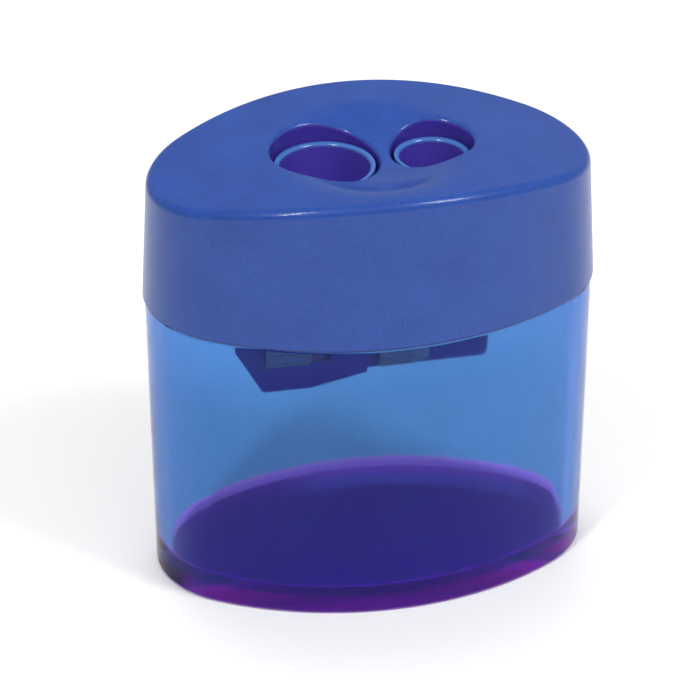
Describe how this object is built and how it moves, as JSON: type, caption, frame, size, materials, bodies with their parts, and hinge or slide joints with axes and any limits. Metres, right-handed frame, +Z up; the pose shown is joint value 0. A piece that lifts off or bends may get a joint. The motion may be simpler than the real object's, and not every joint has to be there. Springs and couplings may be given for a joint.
{
  "type": "canister pencil sharpener",
  "caption": "Oval canister pencil sharpener: a see-through shavings cup and a lift-off cap whose insert has a jumbo and a standard pencil guide with steel blades.",
  "frame": {"origin": "centre of the cup's base, on the surface that it stands on", "axes": "+X along the oval from the jumbo guide to the standard guide, +Z up, the blades face -Y"},
  "size_m": [0.056, 0.0354, 0.057],
  "materials": {
    "tinted_cup_plastic": "clear blue tint, polished",
    "lid_plastic": "opaque blue, satin with a fine texture",
    "insert_plastic": "opaque blue, smooth",
    "blade_steel": "ground steel",
    "screw_steel": "plated steel"
  },
  "bodies": {
    "cup": {"container": "tinted_cup_plastic"},
    "cap": {"lid": "lid_plastic", "sharpener_body": "insert_plastic", "large_blade": "blade_steel", "large_blade_screw": "screw_steel", "small_blade": "blade_steel", "small_blade_screw": "screw_steel"}
  },
  "joints": [
    {"name": "lid_lift", "type": "slide", "parent": "cup", "child": "cap", "axis": [0, 0, 1], "range_m": [0, 0.035]}
  ]
}
